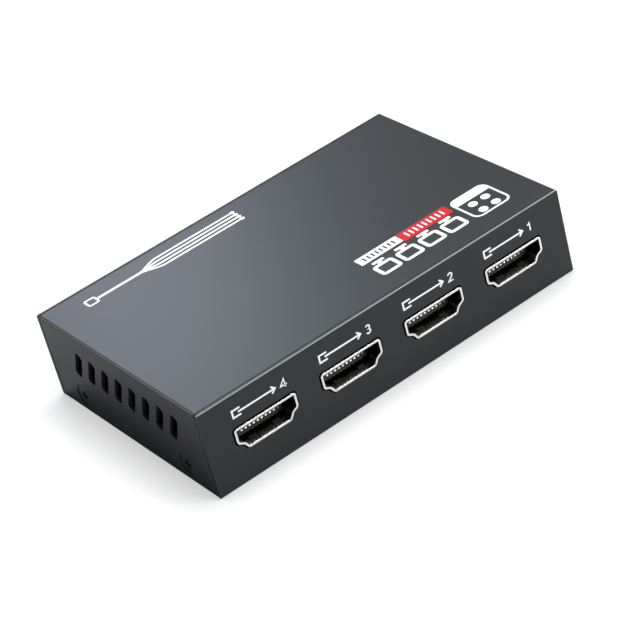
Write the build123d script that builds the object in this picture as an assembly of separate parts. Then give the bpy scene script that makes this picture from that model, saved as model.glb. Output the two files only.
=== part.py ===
from build123d import *
import os

# One-to-four video splitter in a folded sheet-metal case. Lengths are in millimetres, angles in degrees.
# The origin is the middle of the case's underside. X runs along the case, the outputs face -Y, Z is up.

# Case
case_length = 93.0
case_depth = 59.6
case_height = 20.3
sheet = 0.8
bend_radius = 0.5
bend_inner_radius = 0.15
edge_round = 0.15
lip_round = 0.4
seam = 0.15
cover_lift = 0.1
overrun = 1.0

# Vent slots in both ends
vent_count = 8
vent_pitch_share = 0.0851
vent_length_share = 0.335
vent_height_share = 0.628
vent_shift = 1.0
vent_width = 2.35
vent_corner_radius = 0.7
vent_tilt = 26.0

# Cover screws and the tabs that they are driven into
screw_margin = 10.45
screw_height = 3.7
screw_diameter = 3.0
screw_length = 4.0
screw_head_diameter = 4.8
screw_head_recess = 0.2
screw_head_clearance = 0.1
thread_clearance = 0.03
cross_span = 2.7
cross_width = 0.7
cross_depth = 0.8
cross_taper = 12.0
tab_width = 9.0
tab_margin = 3.2
tab_relief_width = 1.0
tab_relief_depth = 2.4

# Circuit board on its standoffs
board_thickness = 1.6
board_edge_gap = 0.8
board_screw_tip_gap = 0.45
board_corner_radius = 1.0
standoff_across_flats = 5.0
standoff_foot_diameter = 4.2
standoff_foot_recess = 0.05
standoff_foot_clearance = 0.02
standoff_bore_share = 0.87
board_screw_inset = 3.5
board_screw_front_inset = 14.5
board_screw_back_inset = 4.5
board_screw_diameter = 2.5
board_screw_grip_share = 0.74
board_screw_head_diameter = 4.7
board_screw_head_height = 1.7
board_screw_head_round = 0.5
board_hole_clearance = 0.15
pan_cross_span = 2.4
pan_cross_width = 0.6
pan_cross_depth = 1.0

# Video sockets
output_count = 4
output_margin = 14.25
shell_width = 15.1
shell_height = 5.5
shell_bottom_width = 10.6
shell_side_height = 3.45
shell_knee_in_share = 0.62
shell_knee_drop_share = 0.31
shell_corner_radius = 0.6
shell_shoulder_radius = 0.9
shell_wall = 0.45
shell_length = 11.8
shell_proud = 0.2
shell_cutout_gap = 0.4
shell_leg_width = 1.2
shell_leg_front = 4.2
shell_leg_back_gap = 1.6
solder_tail = 0.8
solder_hole_clearance = 0.15
finger_width = 1.7
finger_length = 4.2
finger_slit = 0.3
finger_start = 1.6
finger_root = 0.3
finger_dip = 0.5
finger_bottom_spacing = 5.8
finger_top_spacing = 7.2

# Plastic insert with the contact tongue, and the contacts on it
insert_clearance = 0.05
insert_length = 3.6
tongue_recess = 3.0
tongue_width = 11.0
tongue_thickness = 1.3
tongue_top_gap = 2.35
contact_pitch = 1.0
upper_contact_count = 10
lower_contact_count = 9
contact_width = 0.42
contact_tail_width = 0.3
contact_thickness = 0.15
contact_tip_drop = 0.4
contact_clearance = 0.03
contact_tail_reach = 0.6
contact_foot = 0.8

# Power jack
jack_margin = 16.5
jack_headroom = 1.5
jack_width = 9.0
jack_height = 10.8
jack_length = 14.0
jack_axis_height = 6.0
jack_nose_diameter = 8.0
jack_nose_gap = 0.15
jack_cutout_clearance = 0.2
jack_bore_diameter = 6.2
jack_bore_depth = 9.5
jack_pin_diameter = 2.0
jack_pin_recess = 2.4
jack_pin_round = 0.8
jack_fit_clearance = 0.03
jack_terminal_width = 2.4
jack_terminal_thickness = 0.4
jack_terminal_rise = 1.4
jack_spring_width = 1.8
jack_spring_front = 3.6
jack_spring_back = 8.6
jack_spring_dip = 0.6
jack_slot_clearance = 0.2

# Indicator lights
led_count = 5
led_margin_share = 0.17
led_diameter = 3.0
led_body_length = 3.4
led_flange_diameter = 3.8
led_flange_thickness = 1.0
led_axis_height = 3.0
led_tip_recess = 0.1
led_hole_clearance = 0.12
led_lead_width = 0.5
led_lead_spacing = 2.54
led_lead_reach = 1.6

# Splitter chip, its thermal pad and heat sink
chip_offset_share = -0.043
chip_size = 14.0
chip_thickness = 1.4
chip_lift = 0.1
chip_leads_per_side = 24
chip_lead_pitch = 0.5
chip_lead_width = 0.22
chip_lead_thickness = 0.15
chip_lead_reach = 1.0
chip_lead_foot = 0.5
pad_thickness = 0.5
pad_margin = 1.0
sink_base_thickness = 1.5
sink_fin_height = 4.5
sink_fin_thickness = 0.8
sink_fin_count = 6

# Other pieces on the board
crystal_offset_share = -0.2473
crystal_length = 11.4
crystal_width = 4.7
crystal_height = 3.5
crystal_flange = 0.4
controller_offset_share = -0.371
controller_length = 4.9
controller_width = 3.9
controller_thickness = 1.5
controller_leads_per_side = 4
controller_lead_pitch = 1.27
controller_lead_width = 0.42
controller_lead_reach = 0.9
regulator_offset_shares = [0.14, 0.247]
regulator_length = 6.5
regulator_width = 3.5
regulator_thickness = 1.6
regulator_lead_count = 3
regulator_lead_pitch = 2.3
regulator_lead_width = 0.7
regulator_lead_reach = 1.4
regulator_tab_width = 3.0
inductor_offset_share = 0.129
inductor_size = 6.0
inductor_height = 3.0
inductor_bevel = 0.8
capacitor_offset_shares = [0.2366, 0.3333]
capacitor_diameter = 6.3
capacitor_height = 5.4
capacitor_base = 1.0
capacitor_round = 0.5
surge_length = 2.5
surge_width = 1.0
surge_thickness = 0.6
surge_gap = 1.2
small_length = 1.6
small_width = 0.8
small_capacitor_thickness = 0.8
resistor_thickness = 0.45
small_row_gap = 1.0
small_pitch = 1.8
small_per_socket = 4

half_length = case_length / 2
half_depth = case_depth / 2
vent_pitch = case_depth * vent_pitch_share
vent_length = case_height * vent_length_share
vent_height = case_height * vent_height_share
screw_spacing = case_depth - 2 * screw_margin
standoff_height = case_height - 2 * sheet - board_thickness - jack_height - jack_headroom
standoff_bore_depth = standoff_height * standoff_bore_share
board_screw_length = board_thickness + standoff_height * board_screw_grip_share
output_pitch = (case_length - 2 * output_margin) / (output_count - 1)
input_offset = output_pitch * (output_count / 2 - 1)
shell_leg_back = shell_length - shell_leg_back_gap
socket_cavity_depth = shell_length - insert_length
jack_offset = half_length - jack_margin
chip_offset = case_length * chip_offset_share
crystal_offset = case_length * crystal_offset_share
controller_offset = case_length * controller_offset_share
inductor_offset = case_length * inductor_offset_share
plate_half_length = half_length - sheet - seam
cover_half_depth = half_depth - sheet - seam
board_bottom = sheet + standoff_height
board_top = board_bottom + board_thickness
board_half_length = half_length - screw_head_recess - screw_length - board_screw_tip_gap
board_half_depth = half_depth - sheet - board_edge_gap
tongue_top = shell_height - shell_wall - tongue_top_gap
output_places = [output_pitch * (n - (output_count - 1) / 2) for n in range(output_count)]
led_field = (shell_width / 2 - input_offset, jack_offset - jack_width / 2)
led_margin = (led_field[1] - led_field[0]) * led_margin_share
led_pitch = (led_field[1] - led_field[0] - 2 * led_margin) / (led_count - 1)
led_places = [led_field[0] + led_margin + led_pitch * n for n in range(led_count)]
led_back = led_tip_recess + led_diameter / 2 + led_body_length
splitter_body = (chip_size, chip_size, chip_thickness)
controller_body = (controller_length, controller_width, controller_thickness)
regulator_body = (regulator_length, regulator_width, regulator_thickness)

# Rows on the board, from the outputs to the back. The space between the rows is shared out evenly.
socket_back = shell_length + contact_tail_reach + contact_foot
resistor_gap = surge_gap + surge_width + small_row_gap + small_length / 2
capacitor_gap = resistor_gap + small_length + small_row_gap
front_row = socket_back + capacitor_gap + small_length / 2 - half_depth - shell_proud
light_row = half_depth - led_back - led_lead_reach - led_lead_width
jack_row = half_depth - jack_length - jack_terminal_thickness
chip_row = (front_row + light_row) / 2
regulator_depth = regulator_width + 2 * regulator_lead_reach
supply_rows = (regulator_depth, capacitor_diameter)
supply_gap = (jack_row - front_row - sum(supply_rows)) / (len(supply_rows) + 1)
regulator_row = front_row + supply_gap + regulator_depth / 2
capacitor_row = jack_row - supply_gap - capacitor_diameter / 2
BASE = (Align.CENTER, Align.CENTER, Align.MIN)


def span(centre, width):
    """The two ends of a width about its centre."""
    return centre - width / 2, centre + width / 2


def block(x, y, z):
    """A box between two ends along each axis."""
    size = Box(x[1] - x[0], y[1] - y[0], z[1] - z[0])
    return Pos((x[0] + x[1]) / 2, (y[0] + y[1]) / 2, (z[0] + z[1]) / 2) * size


def group(solids):
    """Separate solids kept together in one node."""
    return Compound(children=[part.solid() for part in solids])


def channel_profile(width, height):
    """U-shaped section of folded sheet, open upwards, with its floor's underside at zero."""
    outer = Pos(0, height / 2) * Rectangle(width, height)
    outer = fillet(outer.vertices().group_by(Axis.Y)[0], bend_radius)
    inner = Pos(0, sheet + height / 2) * Rectangle(width - 2 * sheet, height)
    inner = fillet(inner.vertices().group_by(Axis.Y)[0], bend_inner_radius)
    return outer - inner


def screw_places():
    """Side and depth of each cover screw."""
    return [(side, row * screw_spacing / 2) for side in (-1, 1) for row in (-1, 1)]


def screw_plane(side, y):
    """Plane on an end wall's outer face at a cover screw, with its normal pointing into the case."""
    return Plane(origin=(side * half_length, y, screw_height), x_dir=(0, 1, 0), z_dir=(-side, 0, 0))


def countersunk_form(growth, thread_growth, length):
    """Head cone and shaft of a cover screw, from its face down, grown by the given clearances."""
    head = screw_head_diameter / 2 + growth
    shaft = screw_diameter / 2 + thread_growth
    return Cone(head, shaft, head - shaft, align=BASE) + Cylinder(shaft, length, align=BASE)


def screw_hole(side, y):
    """Countersunk hole through an end wall and the tab behind it."""
    hole = countersunk_form(screw_head_clearance, thread_clearance, screw_length + overrun)
    mouth_radius = screw_head_diameter / 2 + screw_head_clearance
    mouth = Cylinder(mouth_radius, screw_head_recess + overrun, align=BASE)
    hole = Pos(0, 0, screw_head_recess) * hole + Pos(0, 0, -overrun) * mouth
    return screw_plane(side, y) * hole


def cross_recess(cross, width, depth):
    """Cross-shaped driver recess that narrows downwards from zero."""
    arms = Rectangle(cross, width) + Rectangle(width, cross)
    return extrude(arms, amount=-depth, taper=cross_taper)


def tab(side, y):
    """Upright tab folded from the end of the bottom plate, with the stub of plate that it grows from."""
    reach = (plate_half_length - tab_relief_depth, plate_half_length)
    outer = block(reach, span(y, tab_width), (0, screw_height + tab_margin))
    outer = fillet(outer.edges().filter_by(Axis.Y).group_by(Axis.Z)[0].sort_by(Axis.X)[-1], bend_radius)
    inside = (plate_half_length - tab_relief_depth - overrun, plate_half_length - sheet)
    above = (sheet, screw_height + tab_margin + overrun)
    folded = outer - block(inside, span(y, tab_width + overrun), above)
    return folded if side > 0 else mirror(folded, about=Plane.YZ)


def tab_relief(side, y):
    """Notch in the bottom plate that frees a tab on both sides."""
    ends = sorted((side * (plate_half_length - tab_relief_depth), side * (plate_half_length + overrun)))
    return block(ends, span(y, tab_width + 2 * tab_relief_width), (-overrun, sheet + overrun))


def panel_form():
    """Bottom plate and the two long panels, their lips and upper corners rounded like the cover."""
    profile = channel_profile(case_depth, case_height)
    lips = profile.vertices().group_by(Axis.Y)[-1].sort_by(Axis.X)
    profile = fillet([lips[0], lips[-1]], lip_round)
    profile = fillet(profile.vertices().group_by(Axis.Y)[-1].sort_by(Axis.X)[1:-1], edge_round)
    face = Pos(0, case_height / 2) * Rectangle(case_length, case_height)
    face = fillet(face.vertices().group_by(Axis.Y)[-1], bend_radius)
    bounds = extrude(Plane.XZ * face, half_depth + overrun, both=True)
    return extrude(Plane.YZ * profile, half_length, both=True) & bounds


def base_tray():
    """Bottom plate with the two long panels, their cutouts, and the tabs for the cover screws."""
    tray = panel_form()
    for side in (-1, 1):
        ends = sorted((side * plate_half_length, side * (half_length + overrun)))
        tray -= block(ends, span(0, case_depth - 2 * sheet), (-overrun, case_height))
    for side, y in screw_places():
        tray -= tab_relief(side, y)
        tray += tab(side, y)
    for side, y in screw_places():
        tray -= screw_hole(side, y)
    for x in output_places:
        tray -= socket_place(x, -1) * socket_cutout()
    tray -= socket_place(-input_offset, 1) * socket_cutout()
    tray -= jack_place() * jack_cutout()
    for x in led_places:
        tray -= led_place(x) * led_hole()
    foot_radius = standoff_foot_diameter / 2 + standoff_foot_clearance
    for x, y in board_screw_places():
        tray -= Pos(x, y, -overrun) * Cylinder(foot_radius, sheet + 2 * overrun, align=BASE)
    return tray


def top_cover():
    """Top with the two end walls, their vent slots and countersunk screw holes."""
    height = case_height - cover_lift
    profile = Pos(0, case_height) * Rot(0, 0, 180) * channel_profile(case_length, height)
    cover = extrude(Plane.XZ * profile, cover_half_depth, both=True)
    rims = cover.faces().filter_by(Axis.Y)
    cover = fillet([edge for face in rims for edge in face.edges()], edge_round)
    slots = Sketch()
    slot = Rot(0, 0, vent_tilt) * RectangleRounded(vent_width, vent_length, vent_corner_radius)
    for n in range(vent_count):
        y = vent_pitch * (n - (vent_count - 1) / 2) - vent_shift
        slots += Pos(y, vent_height) * slot
    cover -= extrude(Plane.YZ * slots, half_length + overrun, both=True)
    for side, y in screw_places():
        cover -= screw_hole(side, y)
    return cover


def cover_screws():
    """Countersunk cross-head screws, two in each end."""
    shape = countersunk_form(0, 0, screw_length)
    shape -= Rot(180, 0, 0) * cross_recess(cross_span, cross_width, cross_depth)
    shape = Pos(0, 0, screw_head_recess) * shape
    return group([screw_plane(side, y) * shape for side, y in screw_places()])


def board_screw_places():
    """Centres of the board's screws."""
    x = board_half_length - board_screw_inset
    rows = (-board_half_depth + board_screw_front_inset, board_half_depth - board_screw_back_inset)
    return [(side * x, y) for side in (-1, 1) for y in rows]


def board_standoffs():
    """Hexagonal pillars pressed into the bottom plate."""
    pillar = extrude(RegularPolygon(standoff_across_flats / 2, 6, major_radius=False), standoff_height)
    foot = Cylinder(standoff_foot_diameter / 2, sheet - standoff_foot_recess, align=BASE)
    bore_radius = board_screw_diameter / 2 + thread_clearance
    bore = Cylinder(bore_radius, standoff_bore_depth + overrun, align=BASE)
    shape = Pos(0, 0, sheet) * pillar + Pos(0, 0, standoff_foot_recess) * foot
    shape -= Pos(0, 0, board_bottom - standoff_bore_depth) * bore
    return group([Pos(x, y, 0) * shape for x, y in board_screw_places()])


def board_screws():
    """Pan-head screws that hold the board on its standoffs."""
    head = Cylinder(board_screw_head_diameter / 2, board_screw_head_height, align=BASE)
    head = fillet(head.edges().sort_by(Axis.Z)[-1], board_screw_head_round)
    cross = cross_recess(pan_cross_span, pan_cross_width, pan_cross_depth)
    head -= Pos(0, 0, board_screw_head_height) * cross
    shaft = Cylinder(board_screw_diameter / 2, board_screw_length, align=BASE)
    shape = head + Pos(0, 0, -board_screw_length) * shaft
    return group([Pos(x, y, board_top) * shape for x, y in board_screw_places()])


def circuit_board():
    """Board with its screw holes and the holes for soldered legs."""
    outline = RectangleRounded(2 * board_half_length, 2 * board_half_depth, board_corner_radius)
    board = Pos(0, 0, board_bottom) * extrude(outline, board_thickness)
    cuts = []
    for x, y in board_screw_places():
        radius = board_screw_diameter / 2 + board_hole_clearance
        hole = Cylinder(radius, board_thickness + 2 * overrun, align=BASE)
        cuts.append(Pos(x, y, board_bottom - overrun) * hole)
    for x in output_places:
        cuts += [socket_place(x, -1) * leg for leg in shell_legs(solder_hole_clearance)]
    cuts += [socket_place(-input_offset, 1) * leg for leg in shell_legs(solder_hole_clearance)]
    cuts += [jack_place() * leg for leg in jack_legs(solder_hole_clearance)]
    for x in led_places:
        cuts += [led_place(x) * leg for leg in led_legs(solder_hole_clearance)]
    return board - cuts


def socket_place(x, side):
    """Place of a socket whose mouth faces out through the panel on that side, seated on the board."""
    turn = 0 if side < 0 else 180
    return Pos(x, side * (half_depth + shell_proud), board_top) * Rot(0, 0, turn)


def socket_outline(growth):
    """Outline of the socket's shell, wide side up, grown by growth."""
    half_top = shell_width / 2
    half_bottom = shell_bottom_width / 2
    step = shell_height - shell_side_height
    knee_in = shell_knee_in_share * (half_top - half_bottom)
    knee = (half_top - knee_in, step * (1 - shell_knee_drop_share))
    right = [(half_top, shell_height), (half_top, step), knee, (half_bottom, 0)]
    left = [(-x, z) for x, z in reversed(right)]
    face = make_face(Polyline(*right, *left, close=True))
    face = fillet(face.vertices().group_by(Axis.Y)[-1], shell_corner_radius)
    lower = [vertex for level in face.vertices().group_by(Axis.Y)[:3] for vertex in level]
    face = fillet(lower, shell_shoulder_radius)
    return offset(face, amount=growth) if growth else face


def socket_prism(growth, start, end):
    """The outline carried along the depth of the socket, from start to end behind its mouth."""
    return Pos(0, start, 0) * extrude(Plane.XZ * socket_outline(growth), amount=start - end)


def socket_cutout():
    """Opening in the panel around the shell."""
    return socket_prism(shell_cutout_gap, -overrun, shell_proud + sheet + overrun)


def shell_legs(growth):
    """Four solder legs below the shell's side walls, grown by growth."""
    legs = []
    level = (-board_thickness - solder_tail, shell_height - shell_side_height / 2)
    for side in (-1, 1):
        across = span(side * (shell_width - shell_wall) / 2, shell_wall + 2 * growth)
        for y in (shell_leg_front, shell_leg_back):
            legs.append(block(across, span(y, shell_leg_width + 2 * growth), level))
    return legs


def spring_finger(x, top):
    """Window in the shell's top or bottom wall, and the sprung finger in it that dips inwards."""
    ends = (finger_start, finger_start + finger_length)
    across = span(x, finger_width + 2 * finger_slit)
    window = block(across, (ends[0], ends[1] + finger_slit), (-overrun, shell_wall + finger_dip))
    points = [
        (ends[0] - finger_root, 0),
        (ends[0] - finger_root, shell_wall),
        (ends[0], shell_wall),
        (ends[1], shell_wall + finger_dip),
        (ends[1], finger_dip),
        (ends[0], 0),
    ]
    strip = extrude(Plane.YZ * make_face(Polyline(*points, close=True)), finger_width / 2, both=True)
    strip = Pos(x, 0, 0) * strip
    if not top:
        return window, strip
    flip = Pos(0, 0, shell_height) * Rot(0, 180, 0)
    return flip * window, flip * strip


def socket_shell():
    """Drawn metal shell with solder legs and four spring fingers."""
    shell = socket_prism(0, 0, shell_length)
    shell -= socket_prism(-shell_wall, -overrun, shell_length + overrun)
    for side in (-1, 1):
        for spacing, top in ((finger_bottom_spacing, False), (finger_top_spacing, True)):
            window, strip = spring_finger(side * spacing / 2, top)
            shell = shell - window + strip
    return shell + shell_legs(0)


def contact_rows():
    """Level, direction of the surface and places across for the upper and lower contacts."""
    tongue_bottom = tongue_top - tongue_thickness
    sides = ((tongue_top, 1, upper_contact_count), (tongue_bottom, -1, lower_contact_count))
    rows = []
    for z, up, count in sides:
        rows.append((z, up, [contact_pitch * (n - (count - 1) / 2) for n in range(count)]))
    return rows


def socket_insert():
    """Plastic insert: a block that fills the back of the shell, and the tongue in front of it."""
    insert = socket_prism(-shell_wall - insert_clearance, socket_cavity_depth, shell_length)
    level = (tongue_top - tongue_thickness, tongue_top)
    insert += block(span(0, tongue_width), (tongue_recess, shell_length), level)
    channels = []
    for z, up, places in contact_rows():
        level = sorted((z, z + up * (contact_thickness + contact_clearance)))
        depth = (tongue_recess - overrun, shell_length + overrun)
        width = contact_width + 2 * contact_clearance
        channels += [block(span(x, width), depth, level) for x in places]
    return insert - channels


def socket_contacts():
    """Contacts on the tongue, the upper ones bent over its front edge, with tails soldered to the board."""
    contacts = []
    front = tongue_recess - contact_thickness
    back = shell_length + contact_tail_reach
    for z, up, places in contact_rows():
        level = sorted((z, z + up * contact_thickness))
        for x in places:
            width = span(x, contact_width)
            tail = span(x, contact_tail_width)
            contact = block(width, (tongue_recess, shell_length), level)
            if up > 0:
                contact += block(width, (front, tongue_recess), (z - contact_tip_drop, level[1]))
            contact += block(tail, (shell_length, back), level)
            contact += block(tail, (back - contact_thickness, back), (0, level[1]))
            foot = (back - contact_thickness, back + contact_foot)
            contact += block(tail, foot, (0, contact_thickness))
            contacts.append(contact)
    return contacts


def jack_place():
    """Place of the power jack, mouth out through the back panel, seated on the board."""
    return Pos(jack_offset, half_depth, board_top) * Rot(0, 0, 180)


def jack_round(diameter, start, end):
    """Cylinder about the jack's axis between two depths behind the panel's outer face."""
    shape = Cylinder(diameter / 2, end - start, align=BASE)
    return Pos(0, start, jack_axis_height) * Rot(-90, 0, 0) * shape


def jack_cutout():
    """Round hole in the back panel for the jack's nose."""
    return jack_round(jack_nose_diameter + 2 * jack_cutout_clearance, -overrun, sheet + overrun)


def jack_legs(growth):
    """The parts of the jack's terminals that go through the board, grown by growth."""
    low = -board_thickness - solder_tail
    pin_leg = block(
        span(0, jack_terminal_width + 2 * growth),
        (jack_length - growth, jack_length + jack_terminal_thickness + growth),
        (low, jack_axis_height - jack_terminal_rise),
    )
    spring_leg = block(
        span(0, jack_spring_width + 2 * growth),
        (jack_spring_back - jack_terminal_thickness - growth, jack_spring_back + growth),
        (low, jack_axis_height - jack_bore_diameter / 2),
    )
    return [pin_leg, spring_leg]


def power_jack_housing():
    """Moulded jack body with a round nose, its bore and the slot for the spring contact."""
    front = sheet + jack_nose_gap
    body = block(span(0, jack_width), (front, jack_length), (0, jack_height))
    body += jack_round(jack_nose_diameter, 0, front + jack_nose_diameter / 2)
    body -= jack_round(jack_bore_diameter, -overrun, jack_bore_depth)
    body -= jack_round(jack_pin_diameter + 2 * jack_fit_clearance, 0, jack_length + overrun)
    slot_depth = (jack_spring_front - jack_slot_clearance, jack_spring_back + jack_slot_clearance)
    slot_width = span(0, jack_spring_width + 2 * jack_slot_clearance)
    return body - block(slot_width, slot_depth, (-overrun, jack_axis_height - jack_pin_diameter))


def power_jack_pin():
    """Centre pin with its terminal behind the housing."""
    pin = jack_round(jack_pin_diameter, jack_pin_recess, jack_length + jack_terminal_thickness)
    pin = fillet(pin.edges().filter_by(GeomType.CIRCLE).sort_by(Axis.Y)[0], jack_pin_round)
    plate = block(
        span(0, jack_terminal_width),
        (jack_length, jack_length + jack_terminal_thickness),
        (jack_axis_height - jack_terminal_rise, jack_axis_height + jack_terminal_rise),
    )
    return pin + plate + jack_legs(0)[0]


def power_jack_spring():
    """Side contact that bows up into the bore, with its own terminal."""
    level = jack_axis_height - jack_bore_diameter / 2
    ends = (jack_spring_front, jack_spring_back)
    points = [
        (ends[1], level - jack_terminal_thickness),
        (ends[1], level),
        (ends[1] - jack_terminal_thickness, level),
        ((ends[0] + ends[1]) / 2, level + jack_spring_dip),
        (ends[0], level),
        (ends[0], level - jack_terminal_thickness),
        ((ends[0] + ends[1]) / 2, level + jack_spring_dip - jack_terminal_thickness),
    ]
    section = Plane.YZ * make_face(Polyline(*points, close=True))
    strip = extrude(section, jack_spring_width / 2, both=True)
    return strip + jack_legs(0)[1]


def led_place(x):
    """Place of an indicator light behind its hole in the back panel."""
    return Pos(x, half_depth, board_top) * Rot(0, 0, 180)


def led_hole():
    """Round hole in the back panel for a light."""
    radius = led_diameter / 2 + led_hole_clearance
    hole = Cylinder(radius, sheet + 2 * overrun, align=BASE)
    return Pos(0, -overrun, led_axis_height) * Rot(-90, 0, 0) * hole


def led_legs(growth):
    """The wires of one light, from its back face down through the board, grown by growth."""
    legs = []
    for side in (-1, 1):
        x = side * led_lead_spacing / 2
        y = led_back + led_lead_reach
        width = led_lead_width + 2 * growth
        low = -board_thickness - solder_tail
        legs.append(block(span(x, width), span(y, width), (low, led_axis_height + led_lead_width / 2)))
    return legs


def led_lens():
    """Clear round light with a domed tip and a flange at its back."""
    radius = led_diameter / 2
    body = Cylinder(radius, led_body_length, align=BASE)
    dome = Sphere(radius)
    flange = Cylinder(led_flange_diameter / 2, led_flange_thickness, align=BASE)
    lens = body + dome + Pos(0, 0, led_body_length - led_flange_thickness) * flange
    return Pos(0, led_tip_recess + radius, led_axis_height) * Rot(-90, 0, 0) * lens


def led_leads():
    """Wires of all the lights."""
    wires = []
    for x in led_places:
        for leg in led_legs(0):
            centre = leg.center().X
            reach = (led_back, led_back + led_lead_reach)
            level = span(led_axis_height, led_lead_width)
            wires.append(led_place(x) * (leg + block(span(centre, led_lead_width), reach, level)))
    return group(wires)


def gull_wing_leads(x, y, body, count, pitch, lead_width, reach, sides):
    """Leads of a flat chip: out of the middle of its side, down, and flat on the board."""
    leads = []
    length, width, thickness = body
    metal = chip_lead_thickness
    middle = chip_lift + thickness / 2
    for turn in sides:
        start = (length if turn % 180 else width) / 2
        for n in range(count):
            across = span(pitch * (n - (count - 1) / 2), lead_width)
            bend = start + reach - chip_lead_foot
            lead = block(across, (start, bend), (middle, middle + metal))
            lead += block(across, (bend - metal, bend), (0, middle + metal))
            lead += block(across, (bend - metal, start + reach), (0, metal))
            leads.append(Pos(x, y, board_top) * Rot(0, 0, turn) * lead)
    return leads


def chip_body(x, y, body):
    """Moulded chip body, as long, wide and thick as body says, a little above the board."""
    length, width, thickness = body
    base = board_top + chip_lift
    return block(span(x, length), span(y, width), (base, base + thickness))


def splitter_chip():
    """Square chip that copies the input to the four outputs."""
    return chip_body(chip_offset, chip_row, splitter_body)


def splitter_chip_leads():
    """Leads on all four sides of the splitter chip."""
    form = (chip_leads_per_side, chip_lead_pitch, chip_lead_width, chip_lead_reach)
    return group(gull_wing_leads(chip_offset, chip_row, splitter_body, *form, (0, 90, 180, 270)))


def thermal_pad():
    """Soft pad between the chip and its heat sink."""
    side = chip_size - pad_margin
    base = board_top + chip_lift + chip_thickness
    return block(span(chip_offset, side), span(chip_row, side), (base, base + pad_thickness))


def heat_sink():
    """Finned heat sink on the pad."""
    base = board_top + chip_lift + chip_thickness + pad_thickness
    deck = base + sink_base_thickness
    depth = span(chip_row, chip_size)
    sink = block(span(chip_offset, chip_size), depth, (base, deck))
    pitch = (chip_size - sink_fin_thickness) / (sink_fin_count - 1)
    for n in range(sink_fin_count):
        x = chip_offset + pitch * (n - (sink_fin_count - 1) / 2)
        sink += block(span(x, sink_fin_thickness), depth, (deck, deck + sink_fin_height))
    return sink


def clock_crystal():
    """Crystal in a rounded metal can on a flanged base."""
    outline = SlotOverall(crystal_length, crystal_width)
    flange = extrude(offset(outline, amount=crystal_flange), crystal_flange)
    return Pos(crystal_offset, 0, board_top) * (extrude(outline, crystal_height) + flange)


def controller_chip():
    """Small chip that sets the splitter up and answers the screens."""
    return chip_body(controller_offset, 0, controller_body)


def controller_chip_leads():
    """Leads on the two long sides of the controller chip."""
    row = (controller_leads_per_side, controller_lead_pitch)
    form = (*row, controller_lead_width, controller_lead_reach)
    return group(gull_wing_leads(controller_offset, 0, controller_body, *form, (0, 180)))


def regulator_places():
    """Centres of the voltage regulators."""
    return [(case_length * share, regulator_row) for share in regulator_offset_shares]


def voltage_regulators():
    """Regulators for the chip's two supply voltages."""
    return group([chip_body(x, y, regulator_body) for x, y in regulator_places()])


def voltage_regulator_leads():
    """Narrow leads on one side of each regulator and one wide tab on the other."""
    leads = []
    narrow = (regulator_lead_count, regulator_lead_pitch, regulator_lead_width, regulator_lead_reach)
    wide = (1, regulator_lead_pitch, regulator_tab_width, regulator_lead_reach)
    for x, y in regulator_places():
        leads += gull_wing_leads(x, y, regulator_body, *narrow, (180,))
        leads += gull_wing_leads(x, y, regulator_body, *wide, (0,))
    return group(leads)


def power_inductor():
    """Shielded coil block with bevelled corners."""
    level = (board_top, board_top + inductor_height)
    coil = block(span(inductor_offset, inductor_size), span(capacitor_row, inductor_size), level)
    return chamfer(coil.edges().filter_by(Axis.Z), inductor_bevel)


def filter_capacitors():
    """Round cans, each on a square base."""
    can = Cylinder(capacitor_diameter / 2, capacitor_height, align=BASE)
    can = fillet(can.edges().sort_by(Axis.Z)[-1], capacitor_round)
    can += Box(capacitor_diameter, capacitor_diameter, capacitor_base, align=BASE)
    places = [case_length * share for share in capacitor_offset_shares]
    return group([Pos(x, capacitor_row, board_top) * can for x in places])


def socket_row_places(gap):
    """Place on the board behind each socket's solder feet, gap further in."""
    inner = half_depth + shell_proud - socket_back - gap
    return [(x, -inner) for x in output_places] + [(-input_offset, inner)]


def surge_protectors():
    """One small protection array behind each socket."""
    level = (board_top, board_top + surge_thickness)
    places = socket_row_places(surge_gap + surge_width / 2)
    return group([block(span(x, surge_length), span(y, surge_width), level) for x, y in places])


def small_parts(gap, thickness):
    """A row of small parts behind each socket, gap behind its solder feet."""
    level = (board_top, board_top + thickness)
    parts = []
    for x, y in socket_row_places(gap):
        for n in range(small_per_socket):
            place = x + small_pitch * (n - (small_per_socket - 1) / 2)
            parts.append(block(span(place, small_width), span(y, small_length), level))
    return group(parts)


def small_resistors():
    """The row of small resistors next to each surge protector."""
    return small_parts(resistor_gap, resistor_thickness)


def small_capacitors():
    """The row of small capacitors beyond the resistors."""
    return small_parts(capacitor_gap, small_capacitor_thickness)


os.makedirs("parts", exist_ok=True)
nodes = {
    "base_tray": base_tray(),
    "top_cover": top_cover(),
    "cover_screws": cover_screws(),
    "board_standoffs": board_standoffs(),
    "board_screws": board_screws(),
    "circuit_board": circuit_board(),
    "power_jack_housing": jack_place() * power_jack_housing(),
    "power_jack_pin": jack_place() * power_jack_pin(),
    "power_jack_spring": jack_place() * power_jack_spring(),
    "power_led": led_place(led_places[-1]) * led_lens(),
    "output_leds": group([led_place(x) * led_lens() for x in led_places[:-1]]),
    "led_leads": led_leads(),
    "splitter_chip": splitter_chip(),
    "splitter_chip_leads": splitter_chip_leads(),
    "thermal_pad": thermal_pad(),
    "heat_sink": heat_sink(),
    "clock_crystal": clock_crystal(),
    "controller_chip": controller_chip(),
    "controller_chip_leads": controller_chip_leads(),
    "voltage_regulators": voltage_regulators(),
    "voltage_regulator_leads": voltage_regulator_leads(),
    "power_inductor": power_inductor(),
    "filter_capacitors": filter_capacitors(),
    "surge_protectors": surge_protectors(),
    "small_resistors": small_resistors(),
    "small_capacitors": small_capacitors(),
}

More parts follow.
